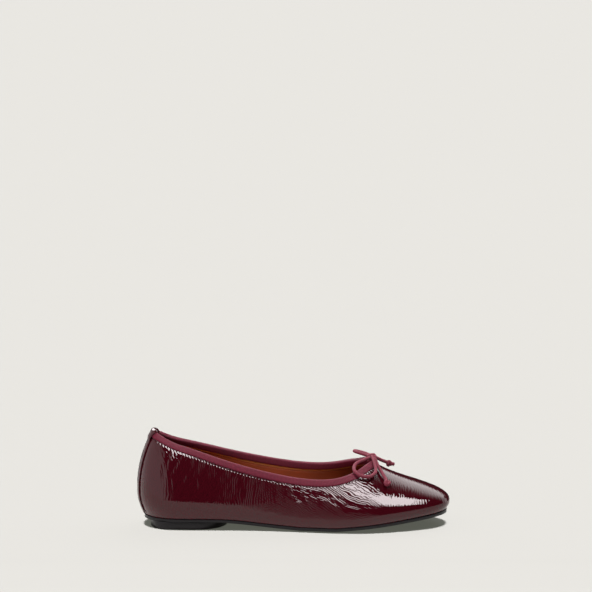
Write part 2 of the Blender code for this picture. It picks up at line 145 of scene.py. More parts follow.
def by_side(table, share, side):
    """A table's outer or inner column, whichever side each share is on."""
    return np.where(side < 0, spline(table, "outer", share), spline(table, "inner", share))


def smooth(value, low, high):
    """0 below low, 1 above high, and a soft step between."""
    t = np.clip((value - low) / (high - low), 0, 1)
    return t * t * (3 - 2 * t)


def sole_underside(share, across=0.0):
    """Height of the sole's underside. across is 0 in the middle and 1 at the rim."""
    seat = HEEL_HEIGHT + GAP
    rear = seat * spline(ARCH, "rise", share)
    fore = TOE_SPRING * spline(SPRING, "rise", share)
    middle = np.where(share < SPRING["share"][0], rear, fore)
    lift = EDGE_LIFT * smooth(share, 0.30, 0.55) * np.maximum(np.abs(across) - 0.45, 0) / 0.55
    return np.maximum(middle, 0.0) + lift


def feather_height(share):
    return sole_underside(share, 1.0) + SOLE_THICKNESS


def girth_point(share, side):
    keep = rounded(share, 0, 1, HEEL_END, TOE_END)
    half = BALL_WIDTH * by_side(GIRTH, share, side) * keep
    rise = BACK_HEIGHT * spline(FULLNESS, "height", share)
    return np.stack((share * LENGTH, side * half, feather_height(share) + GAP + rise), axis=-1)


def feather_point(share, side, inset=0.0):
    heel_tuck, toe_tuck = (BALL_WIDTH * spline(FULLNESS, "tuck", at) + inset for at in (0, 1))
    tuck = BALL_WIDTH * spline(FULLNESS, "tuck", share) + inset
    x = heel_tuck + share * (LENGTH - heel_tuck - toe_tuck)
    keep = rounded(share, 0, 1, HEEL_END, TOE_END)
    half = (BALL_WIDTH * by_side(GIRTH, share, side) - tuck) * keep
    return np.stack((x, side * half, feather_height(x / LENGTH) + GAP), axis=-1)


def collar_point(share, side):
    at = spline(SECTION, "collar", share)
    keep = rounded(at, COLLAR["share"][0], COLLAR["share"][-1], COLLAR_BACK, COLLAR_FRONT)
    half = BALL_WIDTH * spline(COLLAR, "width", at) * keep
    seat = HEEL_HEIGHT + GAP + SOLE_THICKNESS + GAP
    height = seat + BACK_HEIGHT * by_side(COLLAR, at, side)
    return np.stack((at * LENGTH, side * half, height), axis=-1)


def bezier(points, t):
    a, b, c, d = (p[:, None, :] for p in points)
    t = t[None, :, None]
    s = 1 - t
    return s ** 3 * a + 3 * s * s * t * b + 3 * s * t * t * c + t ** 3 * d


def sections(share, side):
    """The two cubic curves of each section: feather edge to widest line, and on to the collar."""
    low = feather_point(share, side)
    wide = girth_point(share, side)
    top = collar_point(share, side)
    up = np.array((0, 0, 1.0))
    out = (wide - low) * (1, 1, 0)
    climb = up * (wide - low)[:, 2:]
    lower = (low, low + out * 0.45 + climb * 0.28, wide - climb * 0.45, wide)
    run = wide - top
    height = (top - wide)[:, 2:]
    turn = top + run * spline(PROFILE, "lean", share)[:, None]
    turn[:, 2] = top[:, 2] - height[:, 0] * spline(PROFILE, "drop", share)
    rise = wide + up * height * spline(PROFILE, "rise", share)[:, None]
    return lower, (wide, rise, turn, top)


def placed(points):
    """Moves points from the heel's backmost point to the frame's origin."""
    return np.array(points) - np.array((REST_SHARE * LENGTH, 0, 0))


def along(points):
    """Distance run along rows of points, from the first."""
    steps = np.linalg.norm(np.diff(points, axis=-2), axis=-1)
    start = np.zeros(steps.shape[:-1] + (1,))
    return np.concatenate((start, np.cumsum(steps, axis=-1)), axis=-1)


class Leather:
    """The outside of the upper, as sections once round the shoe from the back seam."""

    LOW_ROWS = 30
    HIGH_ROWS = 110

    def __init__(self, count):
        turn = np.linspace(0, 1, 4001)
        share = (1 - np.cos(2 * math.pi * turn)) / 2
        side = np.where(turn < 0.5, -1.0, 1.0)
        run = along(girth_point(share, side)) + along(collar_point(share, side))
        even = np.interp(np.linspace(0, run[-1], count + 1), run, turn)
        even[-1] = 1.0
        share = (1 - np.cos(2 * math.pi * even)) / 2
        side = np.where(even < 0.5, -1.0, 1.0)
        lower, upper = sections(share, side)
        low = bezier(lower, np.linspace(0, 1, self.LOW_ROWS + 1))[:, :-1]
        high = bezier(upper, np.linspace(0, 1, self.HIGH_ROWS + 1))
        self.grid = np.concatenate((low, high), axis=1)
        self.count = count
        ring = self.grid[:-1]
        round_it = np.roll(ring, -1, axis=0) - np.roll(ring, 1, axis=0)
        normal = np.cross(round_it, np.gradient(ring, axis=1))
        normal /= np.linalg.norm(normal, axis=2, keepdims=True)
        self.normal = np.concatenate((normal, normal[:1]), axis=0)
        self.below = along(self.grid[:, ::-1])[:, ::-1]
        self.depth = self.below[:, 0]
        self.collar_run = along(self.grid[:, -1])

    def at(self, down, out):
        """Points at distances down the leather from its collar edge and out from its face.

        down and out are rows of distances for each section. Above the edge down is negative.
        """
        down = np.broadcast_to(down, (self.count + 1, np.shape(down)[-1]))
        out = np.broadcast_to(out, down.shape)
        points = np.empty(down.shape + (3,))
        for i in range(self.count + 1):
            for axis in range(3):
                points[i, :, axis] = np.interp(down[i], self.below[i, ::-1], self.grid[i, ::-1, axis])
                face = np.interp(down[i], self.below[i, ::-1], self.normal[i, ::-1, axis])
                points[i, :, axis] += face * out[i]
        edge = self.grid[:, -1] - self.grid[:, -3]
        edge /= np.linalg.norm(edge, axis=1, keepdims=True)
        over = np.maximum(-down, 0)
        return points + edge[:, None, :] * over[:, :, None]


def deselect():
    """Leaves nothing selected, in object mode."""
    if bpy.context.object and bpy.context.object.mode != "OBJECT":
        bpy.ops.object.mode_set(mode="OBJECT")
    bpy.ops.object.select_all(action="DESELECT")


def activate(piece):
    deselect()
    piece.select_set(True)
    bpy.context.view_layer.objects.active = piece


def clean(piece):
    """Closes the seams of a piece and turns its faces outwards."""
    activate(piece)
    bpy.ops.object.mode_set(mode="EDIT")
    bpy.ops.mesh.select_all(action="SELECT")
    bpy.ops.mesh.remove_doubles(threshold=MERGE_DISTANCE)
    bpy.ops.mesh.dissolve_degenerate(threshold=MERGE_DISTANCE)
    bpy.ops.mesh.select_all(action="SELECT")
    bpy.ops.mesh.normals_make_consistent(inside=False)
    bpy.ops.object.mode_set(mode="OBJECT")


def loft(name, points, uv=None):
    """A grid primitive laid over rows of points, its seams closed. uv holds a pattern's metres."""
    rows, columns = points.shape[:2]
    deselect()
    bpy.ops.mesh.primitive_grid_add(x_subdivisions=rows - 1, y_subdivisions=columns - 1, size=1)
    piece = bpy.context.object
    piece.name = name
    mesh = piece.data
    flat = np.empty(len(mesh.vertices) * 3)
    mesh.vertices.foreach_get("co", flat)
    flat = flat.reshape(-1, 3)
    i = np.rint((flat[:, 0] + 0.5) * (rows - 1)).astype(int)
    j = np.rint((flat[:, 1] + 0.5) * (columns - 1)).astype(int)
    mesh.vertices.foreach_set("co", placed(points[i, j]).ravel())
    if uv is not None:
        corner = np.empty(len(mesh.loops), dtype=int)
        mesh.loops.foreach_get("vertex_index", corner)
        mesh.uv_layers.active.data.foreach_set("uv", uv[i[corner], j[corner]].ravel())
    mesh.update()
    clean(piece)
    return piece


def smooth_faces(piece, angle=60):
    activate(piece)
    bpy.ops.object.shade_smooth_by_angle(angle=math.radians(angle))


def finish_piece(piece, material, slot, *nodes):
    """Gives a finished piece its material and its place in the frame."""
    piece.data.name = piece.name
    piece.data.materials.clear()
    piece.data.materials.append(material)
    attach(piece, "root")
    if nodes:
        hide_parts(*nodes)
    return piece


# Camera: the photograph's angle, from the outer side and a little above. The picture's middle lies
# aim_right metres beside and aim_up pixels above the point that the camera stands round
CAMERA = {"elevation": 13.0, "distance": 2.6134, "focal_px": 3255.8, "aim_right": 0.0021, "aim_up": 183.85}
AIM = Vector((0.1241 - REST_SHARE * LENGTH, 0, 0.035))
IMAGE = 592


def build_camera():
    tilt = math.radians(CAMERA["elevation"])
    towards = Vector((0, math.cos(tilt), -math.sin(tilt)))
    eye = AIM - towards * CAMERA["distance"]
    axis = math.atan(CAMERA["aim_up"] / CAMERA["focal_px"]) - tilt
    look = Vector((CAMERA["aim_right"] / CAMERA["distance"], math.cos(axis), math.sin(axis)))
    deselect()
    bpy.ops.object.camera_add(location=eye)
    camera = bpy.context.object
    camera.name = "camera"
    camera.rotation_mode = "QUATERNION"
    camera.rotation_quaternion = look.to_track_quat("-Z", "Y")
    camera.data.sensor_width = 36
    camera.data.lens = CAMERA["focal_px"] / IMAGE * 36
    camera.data.clip_start = 0.05
    camera.data.clip_end = 100
    bpy.context.scene.camera = camera


build_camera()

# Materials


def linear(colour):
    """An sRGB hex colour as linear values with alpha 1."""
    parts = [int(colour[i:i + 2], 16) / 255 for i in (1, 3, 5)]
    return (*[c / 12.92 if c <= 0.04045 else ((c + 0.055) / 1.055) ** 2.4 for c in parts], 1)


def add(tree, kind, settings=None, **links):
    """Adds a node. links names its inputs, as words or numbers after an underscore."""
    made = tree.nodes.new(kind)
    for name, value in (settings or {}).items():
        setattr(made, name, value)
    for name, value in links.items():
        key = int(name[1:]) if name[0] == "_" else name.replace("_", " ")
        socket = made.inputs[key]
        if isinstance(value, bpy.types.NodeSocket):
            tree.links.new(value, socket)
        else:
            socket.default_value = value
    return made


def noise_scale(size):
    """The scale of a noise texture whose blotches are of a size in metres."""
    return 0.55 / size


def new_material(name):
    material = bpy.data.materials.new(name)
    material.use_nodes = True
    tree = material.node_tree
    return material, tree, tree.nodes["Principled BSDF"]


def ramp_stops(ramp, stops):
    """Sets a colour ramp's stops from (place, colour) pairs."""
    elements = ramp.color_ramp.elements
    while len(elements) < len(stops):
        elements.new(0.5)
    for element, (place, colour) in zip(elements, stops):
        element.position = place
        element.color = colour


def window(tree, value, *steps):
    """A smooth step from the first to the second place, as a node's output. More steps multiply it."""
    made = None
    for low, high in steps:
        step = add(tree, "ShaderNodeMapRange", {"interpolation_type": "SMOOTHSTEP"}, Value=value,
                   From_Min=low, From_Max=high).outputs[0]
        made = step if made is None else add(tree, "ShaderNodeMath", {"operation": "MULTIPLY"},
                                             _0=made, _1=step).outputs[0]
    return made


def crinkle(tree, place, tilt, pitch, seed):
    """Crinkles that run one way, side by side and wandering as on a fingertip, -1 to 1."""
    laid = add(tree, "ShaderNodeMapping", {"vector_type": "TEXTURE"}, Vector=place,
               Location=(seed, seed * 0.37, seed * 0.61), Rotation=(0, math.radians(tilt), 0),
               Scale=(1.5, 1.0, 1.0))
    noise = add(tree, "ShaderNodeTexNoise", {"noise_dimensions": "3D"}, Vector=laid.outputs[0],
                Scale=noise_scale(1.9 * pitch), Detail=1.5, Roughness=0.5)
    across = add(tree, "ShaderNodeSeparateXYZ", Vector=laid.outputs[0])
    even = add(tree, "ShaderNodeMath", {"operation": "MULTIPLY"}, _0=across.outputs[2],
               _1=2 * math.pi / pitch)
    phase = add(tree, "ShaderNodeMath", {"operation": "MULTIPLY_ADD"}, _0=noise.outputs["Fac"], _1=16.0,
                _2=even.outputs[0])
    return add(tree, "ShaderNodeMath", {"operation": "SINE"}, _0=phase.outputs[0]).outputs[0]


def patent(name, dimples):
    """Patent leather: a thick clear lacquer, cured over dyed calf and boarded into fine crinkles.

    The lacquer gives a mirror over a deep colour. The crinkles break its reflections into ripples,
    which stand upright round the heel and the toe and lean along the vamp.
    """
    material, tree, shader = new_material(name)
    shader.inputs["Base Color"].default_value = linear(DEEP_RED)
    shader.inputs["Roughness"].default_value = 0.5
    shader.inputs["Specular IOR Level"].default_value = 0.0
    shader.inputs["Coat Weight"].default_value = 1.0
    shader.inputs["Coat Roughness"].default_value = 0.03
    shader.inputs["Coat IOR"].default_value = 1.5
    coords = add(tree, "ShaderNodeTexCoord")
    place = coords.outputs["Object"]
    # The crinkles wander: their place is pushed about by a slow drift
    drift = add(tree, "ShaderNodeTexNoise", Vector=place, Scale=noise_scale(22 * MM), Detail=1.0)
    centred = add(tree, "ShaderNodeVectorMath", {"operation": "SUBTRACT"}, _0=drift.outputs["Color"],
                  _1=(0.5, 0.5, 0.5))
    wander = add(tree, "ShaderNodeVectorMath", {"operation": "SCALE"}, _0=centred.outputs[0], Scale=14 * MM)
    moved = add(tree, "ShaderNodeVectorMath", {"operation": "ADD"}, _0=place, _1=wander.outputs[0]).outputs[0]
    upright = crinkle(tree, moved, 84, 2.0 * MM, 3.0)
    leaning = crinkle(tree, moved, 28, 1.45 * MM, 7.0)
    across = add(tree, "ShaderNodeSeparateXYZ", Vector=place)
    vamp = window(tree, across.outputs[0], (0.035, 0.090), (0.162, 0.142))
    mixed = add(tree, "ShaderNodeMix", {"data_type": "FLOAT"}, _0=vamp, _2=upright, _3=leaning)
    # Taut over the toe, round the heel and low down, so the crinkles are fainter there. Places are in
    # metres from the frame's origin
    toe = add(tree, "ShaderNodeMapRange", {"interpolation_type": "SMOOTHSTEP"}, Value=across.outputs[0],
              From_Min=0.128, From_Max=0.158, To_Min=0.5, To_Max=0.2)
    low = add(tree, "ShaderNodeMapRange", {"interpolation_type": "SMOOTHSTEP"}, Value=across.outputs[2],
              From_Min=0.008, From_Max=0.020, To_Min=0.4, To_Max=1.0)
    heel = add(tree, "ShaderNodeMapRange", {"interpolation_type": "SMOOTHSTEP"}, Value=across.outputs[0],
               From_Min=0.010, From_Max=0.060, To_Min=0.45, To_Max=1.1)
    ends = add(tree, "ShaderNodeMath", {"operation": "MULTIPLY"}, _0=toe.outputs[0], _1=heel.outputs[0])
    calm = add(tree, "ShaderNodeMath", {"operation": "MULTIPLY"}, _0=ends.outputs[0], _1=low.outputs[0])
    height = add(tree, "ShaderNodeMath", {"operation": "MULTIPLY"}, _0=mixed.outputs[0], _1=calm.outputs[0])
    patchy = add(tree, "ShaderNodeTexNoise", Vector=place, Scale=noise_scale(9 * MM), Detail=2.0)
    relief = add(tree, "ShaderNodeMath", {"operation": "MULTIPLY_ADD"}, _0=patchy.outputs["Fac"], _1=1.2,
                 _2=height.outputs[0]).outputs[0]
    if dimples:
        # Needle dimples just under the binding, from the seam that holds it: u runs along the collar
        flat = add(tree, "ShaderNodeSeparateXYZ", Vector=coords.outputs["UV"])
        beat = add(tree, "ShaderNodeMath", {"operation": "MULTIPLY"}, _0=flat.outputs[0],
                   _1=2 * math.pi / STITCH_PITCH)
        cosine = add(tree, "ShaderNodeMath", {"operation": "COSINE"}, _0=beat.outputs[0])
        wave = add(tree, "ShaderNodeMapRange", {"interpolation_type": "SMOOTHSTEP"}, Value=cosine.outputs[0],
                   From_Min=-0.2, From_Max=1.0)
        near = add(tree, "ShaderNodeMath", {"operation": "SUBTRACT"}, _0=flat.outputs[1],
                   _1=BINDING_HEIGHT + 1.1 * MM)
        spread = add(tree, "ShaderNodeMath", {"operation": "DIVIDE"}, _0=near.outputs[0], _1=0.6 * MM)
        squared = add(tree, "ShaderNodeMath", {"operation": "MULTIPLY"}, _0=spread.outputs[0],
                      _1=spread.outputs[0])
        minus = add(tree, "ShaderNodeMath", {"operation": "MULTIPLY"}, _0=squared.outputs[0], _1=-1.0)
        band = add(tree, "ShaderNodeMath", {"operation": "EXPONENT"}, _0=minus.outputs[0])
        pits = add(tree, "ShaderNodeMath", {"operation": "MULTIPLY"}, _0=wave.outputs[0], _1=band.outputs[0])
        # Shallower round the heel, where the tape lies flatter
        deep = add(tree, "ShaderNodeMapRange", {"interpolation_type": "SMOOTHSTEP"}, Value=across.outputs[0],
                   From_Min=-0.005, From_Max=0.020, To_Min=-0.5, To_Max=-1.7)
        relief = add(tree, "ShaderNodeMath", {"operation": "MULTIPLY_ADD"}, _0=pits.outputs[0],
                     _1=deep.outputs[0], _2=relief).outputs[0]
    bump = add(tree, "ShaderNodeBump", Strength=1.0, Distance=CRINKLE_DEPTH, Height=relief)
    tree.links.new(bump.outputs[0], shader.inputs["Normal"])
    tree.links.new(bump.outputs[0], shader.inputs["Coat Normal"])
    return material


def grosgrain():
    """Grosgrain tape: dyed polyester woven with thick weft ribs across its width.

    The ribs are drawn 1.1 mm apart, coarser than the cloth's own 0.6 mm, so that they show.
    """
    material, tree, shader = new_material("grosgrain_tape")
    shader.inputs["Roughness"].default_value = 0.72
    shader.inputs["IOR"].default_value = 1.5
    shader.inputs["Specular IOR Level"].default_value = 0.2
    shader.inputs["Sheen Weight"].default_value = 0.08
    shader.inputs["Sheen Roughness"].default_value = 0.5
    shader.inputs["Sheen Tint"].default_value = linear("#B06A80")
    coords = add(tree, "ShaderNodeTexCoord")
    flat = add(tree, "ShaderNodeSeparateXYZ", Vector=coords.outputs["UV"])
    beat = add(tree, "ShaderNodeMath", {"operation": "MULTIPLY"}, _0=flat.outputs[0],
               _1=2 * math.pi / (1.1 * MM))
    wave = add(tree, "ShaderNodeMath", {"operation": "SINE"}, _0=beat.outputs[0])
    fuzz = add(tree, "ShaderNodeTexNoise", Vector=coords.outputs["Object"], Scale=noise_scale(0.9 * MM),
               Detail=3.0, Roughness=0.6)
    height = add(tree, "ShaderNodeMath", {"operation": "MULTIPLY_ADD"}, _0=wave.outputs[0], _1=0.30,
                 _2=fuzz.outputs["Fac"])
    # Painted shade: the hollows between the ribs are drawn darker, and the fuzz varies the tone at random
    shade = add(tree, "ShaderNodeMapRange", Value=height.outputs[0], From_Min=0.1, From_Max=0.95)
    colour = add(tree, "ShaderNodeMix", {"data_type": "RGBA"}, _0=shade.outputs[0])
    colour.inputs[6].default_value = linear("#62162A")
    colour.inputs[7].default_value = linear("#82203A")
    tree.links.new(colour.outputs[2], shader.inputs["Base Color"])
    bump = add(tree, "ShaderNodeBump", Strength=1.0, Distance=0.09 * MM, Height=height.outputs[0])
    tree.links.new(bump.outputs[0], shader.inputs["Normal"])
    return material


def braid():
    """Braided cotton cord: dyed yarns laid in a tight tube, soft and without gloss."""
    material, tree, shader = new_material("braided_cotton_cord")
    shader.inputs["Roughness"].default_value = 0.8
    shader.inputs["Specular IOR Level"].default_value = 0.25
    shader.inputs["Sheen Weight"].default_value = 0.2
    shader.inputs["Sheen Roughness"].default_value = 0.5
    shader.inputs["Sheen Tint"].default_value = linear("#C07A8E")
    coords = add(tree, "ShaderNodeTexCoord")
    weave = add(tree, "ShaderNodeTexVoronoi", {"feature": "F1"}, Vector=coords.outputs["Object"],
                Scale=1 / (0.55 * MM), Randomness=0.6)
    # Painted shade: darker in the hollows between the yarns, paler on their crowns
    colour = add(tree, "ShaderNodeMix", {"data_type": "RGBA"}, _0=weave.outputs["Distance"])
    colour.inputs[6].default_value = linear("#98364A")
    colour.inputs[7].default_value = linear("#702234")
    tree.links.new(colour.outputs[2], shader.inputs["Base Color"])
    bump = add(tree, "ShaderNodeBump", {"invert": True}, Strength=0.8, Distance=0.08 * MM,
               Height=weave.outputs["Distance"])
    tree.links.new(bump.outputs[0], shader.inputs["Normal"])
    return material


def lining_leather(name, light, dark, fold=None):
    """Undyed pigskin lining: tanned tan, matt, with small pores and faint darker clouds.

    Where fold names a colour, a painted highlight in it runs along the lining's top edge, just under the
    tape, and painted shade makes the leather under the vamp darker.
    """
    material, tree, shader = new_material(name)
    shader.inputs["Roughness"].default_value = 0.55
    shader.inputs["Specular IOR Level"].default_value = 0.3
    coords = add(tree, "ShaderNodeTexCoord")
    cloud = add(tree, "ShaderNodeTexNoise", Vector=coords.outputs["Object"], Scale=noise_scale(11 * MM),
                Detail=3.0)
    colour = add(tree, "ShaderNodeMix", {"data_type": "RGBA"}, _0=cloud.outputs["Fac"])
    colour.inputs[6].default_value = linear(light)
    colour.inputs[7].default_value = linear(dark)
    tone_and_painted_light = colour.outputs[2]
    if fold:
        flat = add(tree, "ShaderNodeSeparateXYZ", Vector=coords.outputs["UV"])
        # Painted highlight: a pale band along the lining's top edge, just under the tape
        near = window(tree, flat.outputs[1], (6.9 * MM, 6.5 * MM))
        turned = add(tree, "ShaderNodeMix", {"data_type": "RGBA"}, _0=near, _6=tone_and_painted_light)
        turned.inputs[7].default_value = linear(fold)
        tone_and_painted_light = turned.outputs[2]
        # Painted shade: darker under the vamp, where little light reaches inside the toe
        across = add(tree, "ShaderNodeSeparateXYZ", Vector=coords.outputs["Object"])
        painted_toe_shade = add(tree, "ShaderNodeMapRange", Value=across.outputs[0], From_Min=0.085, From_Max=0.145,
                    To_Min=1.0, To_Max=0.42)
        tone_and_painted_light = add(tree, "ShaderNodeVectorMath", {"operation": "SCALE"}, _0=tone_and_painted_light,
                   Scale=painted_toe_shade.outputs[0]).outputs[0]
    tree.links.new(tone_and_painted_light, shader.inputs["Base Color"])
    pores = add(tree, "ShaderNodeTexNoise", Vector=coords.outputs["Object"], Scale=noise_scale(0.7 * MM),
                Detail=3.0)
    bump = add(tree, "ShaderNodeBump", Strength=0.6, Distance=0.06 * MM, Height=pores.outputs["Fac"])
    tree.links.new(bump.outputs[0], shader.inputs["Normal"])
    return material


def rubber():
    """Moulded black rubber: a satin skin with a fine tooth that greys at grazing light."""
    material, tree, shader = new_material("moulded_rubber")
    shader.inputs["Base Color"].default_value = linear("#110D12")
    shader.inputs["Roughness"].default_value = 0.38
    shader.inputs["Specular IOR Level"].default_value = 0.35
    shader.inputs["IOR"].default_value = 1.5
    coords = add(tree, "ShaderNodeTexCoord")
    tooth = add(tree, "ShaderNodeTexNoise", Vector=coords.outputs["Object"], Scale=noise_scale(0.8 * MM),
                Detail=3.0)
    bump = add(tree, "ShaderNodeBump", Strength=0.5, Distance=0.05 * MM, Height=tooth.outputs["Fac"])
    tree.links.new(bump.outputs[0], shader.inputs["Normal"])
    return material


STITCH_PITCH = 2.5 * MM
CRINKLE_DEPTH = 0.11 * MM
DEEP_RED = "#460814"
PATENT = patent("crinkled_patent_leather", True)
STRIP_PATENT = patent("crinkled_patent_strip", False)
TAPE = grosgrain()
BRAID = braid()
# The lining's last colour is the painted highlight along its top edge
LINING = lining_leather("tan_pigskin_lining", "#AA4B1A", "#8A3910", "#D68F52")
SOCK = lining_leather("tan_leather_sock", "#A65526", "#8A4119")
RUBBER = rubber()

# Bow: two cords drawn out of the throat, knotted together, each with a loop and a tail. Points are in
# millimetres: x from the heel's backmost point, y and z
CORD_NEAR = ((184.2, -1.0, 50.4), (186.0, -1.6, 52.2), (186.4, -1.4, 53.8), (184.2, -3.6, 53.8),
             (179.8, -8.7, 53.1), (174.7, -14.1, 52.0), (172.4, -19.6, 50.1), (172.9, -25.3, 47.7),
             (176.4, -27.3, 45.2), (181.2, -26.4, 43.7), (185.6, -24.3, 43.6), (188.7, -20.3, 44.9),
             (189.6, -15.6, 47.2), (189.0, -11.2, 50.2), (187.8, -5.4, 53.6), (187.2, -1.6, 54.4),
             (188.0, -1.6, 53.6), (189.6, -4.0, 52.3), (191.0, -8.0, 49.7), (193.5, -13.2, 46.0),
             (195.9, -17.8, 42.7), (197.5, -21.2, 40.2), (198.3, -25.2, 38.5))
CORD_FAR = ((184.2, 1.0, 50.4), (185.6, 1.8, 52.4), (185.6, 1.8, 54.0), (183.0, 3.2, 54.3),
            (179.8, 4.6, 55.2), (176.6, 6.2, 55.9), (173.9, 9.2, 56.2), (173.1, 12.6, 56.0),
            (174.6, 15.8, 55.2), (178.0, 16.2, 54.4), (181.6, 13.2, 54.0), (184.2, 9.2, 53.8),
            (186.0, 5.0, 53.9), (186.9, 1.6, 54.2), (188.0, 1.2, 54.0), (190.0, 2.5, 53.0),
            (193.5, 4.6, 50.8), (197.0, 6.2, 48.9), (200.6, 8.4, 47.0))
KNOT_MM = (186.7, 0.0, 54.2)
STUB_SWELL = 1.2         # how much thicker than the cord its frayed stub is


def add_run(curve, points, radius=1.0):
    """Adds a smooth run through points, given in millimetres, to a cord's curve."""
    line = curve.splines.new("BEZIER")
    line.bezier_points.add(len(points) - 1)
    for spot, point in zip(line.bezier_points, placed(np.array(points) * MM)):
        spot.co = point
        spot.radius = radius
        spot.handle_left_type = "AUTO"
        spot.handle_right_type = "AUTO"
    return line


def draw_cord(name, points, thick=CORD, closed=False):
    """A round cord on a smooth curve through its points."""
    deselect()
    bpy.ops.curve.primitive_bezier_curve_add(enter_editmode=False, location=(0, 0, 0))
    piece = bpy.context.object
    piece.name = name
    curve = piece.data
    curve.splines.remove(curve.splines[0])
    line = add_run(curve, points)
    line.use_cyclic_u = closed
    line.resolution_u = 10
    curve.dimensions = "3D"
    curve.bevel_depth = thick / 2
    curve.bevel_resolution = 6
    curve.resolution_u = 10
    curve.use_fill_caps = True
    return piece


def overhand(name, centre, size, turn, stub):
    """An overhand knot drawn tight at a cord's end: three crossing turns, with a short stub beyond."""
    turns = []
    for i in range(24):
        t = 2 * math.pi * i / 24
        turns.append(((math.sin(t) + 2 * math.sin(2 * t)) / 3, (math.cos(t) - 2 * math.cos(2 * t)) / 3,
                      -math.sin(3 * t)))
    lay = np.array(turns) * np.array(size)
    lay = lay @ np.array(turn.to_matrix()).T
    piece = draw_cord(name, [tuple(p + np.array(centre)) for p in lay], CORD * 0.92, True)
    add_run(piece.data, stub, STUB_SWELL)
    return piece


def build_bow():
    """The bow's two cords, the turn that ties them and the knots on their ends."""
    wrap = []
    for i in range(16):
        t = 2 * math.pi * i / 16
        wrap.append((KNOT_MM[0] + 2.55 * math.cos(t), KNOT_MM[1] + 1.3 * math.sin(t * 2 + 0.4),
                     KNOT_MM[2] + 0.1 + 1.3 * math.sin(t)))
    knot = draw_cord("bow_knot_turn", wrap, CORD, True)
    finish_piece(knot, BRAID, "cord", "bow_knot")
    near_tip = overhand("bow_tip_knot_near", (198.4, -25.8, 38.3), (2.0, 1.6, 1.1),
                        Vector((0.35, -0.6, -0.7)).to_track_quat("Z", "Y"),
                        ((198.4, -26.0, 38.2), (199.8, -27.4, 37.2)))
    finish_piece(near_tip, BRAID, "cord", "bow_tip_near")
    far_tip = overhand("bow_tip_knot_far", (201.0, 8.8, 46.7), (1.9, 1.7, 1.1),
                       Vector((0.7, 0.3, -0.6)).to_track_quat("Z", "Y"),
                       ((202.0, 9.0, 46.4), (205.0, 9.9, 45.6)))
    finish_piece(far_tip, BRAID, "cord", "bow_tip_far")
    for side, points, tip in (("near", CORD_NEAR, near_tip), ("far", CORD_FAR, far_tip)):
        cord = draw_cord("bow_cord_" + side, points)
        finish_piece(cord, BRAID, "cord", "bow_loop_" + side, "bow_tail_" + side)


build_bow()

# Upper: the patent skin outside, the lining inside, and the tape over their edge
SKIN = 0.0009            # patent leather's own thickness, the lining takes the rest of the wall
LEATHER = Leather(980)   # sections round the shoe, enough for a smooth mirror
COARSE = Leather(420)    # fewer, for the matt lining

# Main creases of the patent skin in millimetres, on both sides: where the middle of each lies (x from the
# heel's backmost point, z), its lean from upright towards the toe in degrees, its length and its depth
CREASES_MM = (
    (17.0, 60.0, 8, 14.0, 0.10), (20.5, 46.0, 4, 16.0, 0.12), (24.5, 57.0, -12, 13.0, 0.12),
    (27.0, 41.0, 0, 14.0, 0.11), (31.0, 53.0, -28, 14.0, 0.13), (36.0, 40.0, -20, 11.0, 0.10),
    (40.0, 47.0, -32, 10.0, 0.09), (47.0, 37.0, 15, 9.0, 0.08), (151.0, 37.0, 50, 15.0, 0.12),
    (156.0, 31.0, 52, 15.0, 0.12), (162.0, 37.0, 50, 17.0, 0.13), (167.0, 30.0, 52, 16.0, 0.12),
    (173.0, 35.0, 50, 17.0, 0.10), (180.0, 30.0, 50, 16.0, 0.07), (186.0, 35.0, 46, 13.0, 0.05),
    (193.0, 30.0, 40, 12.0, 0.04), (203.0, 27.0, 12, 8.0, 0.03), (211.0, 24.0, 8, 8.0, 0.03),
)
CREASE_WIDTH = 1.3 * MM
# How far apart the skin's rows lie under the tape and its seam, in millimetres below the collar's edge
EDGE_ROWS_MM = (0.0, 2.2, 3.8, 4.4, 4.7, 4.95, 5.2, 5.45, 5.7, 6.0, 6.4, 6.9, 7.5, 8.2, 9.0, 10.0, 11.0)


def creased(points):
    """How far the creases push the skin in, and the low ridges beside them out."""
    out = np.zeros(points.shape[:2])
    for x, z, lean, length, depth in CREASES_MM:
        turn = math.radians(lean)
        dx = points[:, :, 0] - x * MM
        dz = points[:, :, 2] - z * MM
        run = dx * math.sin(turn) - dz * math.cos(turn)
        off = np.abs(dx * math.cos(turn) + dz * math.sin(turn)) / CREASE_WIDTH
        fade = np.exp(-(run / (length * MM / 2)) ** 4)
        out += depth * MM * fade * (0.5 * np.exp(-(off - 2) ** 2) - np.exp(-off ** 2))
    return out


